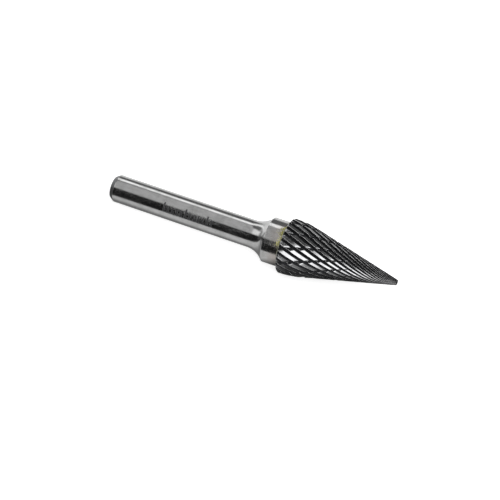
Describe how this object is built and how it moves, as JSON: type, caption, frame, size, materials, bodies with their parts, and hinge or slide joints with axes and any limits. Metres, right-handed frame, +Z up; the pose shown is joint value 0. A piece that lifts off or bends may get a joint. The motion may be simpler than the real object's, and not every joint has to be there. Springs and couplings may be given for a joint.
{
  "type": "carbide rotary burr",
  "caption": "Rotary burr with a pointed cone head of double-cut teeth, brazed to a plain shank with a flared neck and collar.",
  "frame": {"origin": "on the surface it lies on, under the middle of its bounding box", "axes": "+X towards the head's point, in plan along the tool's axis, which rises about 4 degrees that way; +Z up"},
  "size_m": [0.065, 0.012, 0.012],
  "materials": {
    "steel": "ground and polished steel",
    "braze": "dull silver-brass braze, speckled with flux",
    "carbide": "dark ground tungsten carbide with a satin shine"
  },
  "bodies": {
    "root": {"steel_shank": "steel", "braze_joint": "braze", "cutting_head": "carbide"}
  },
  "joints": []
}
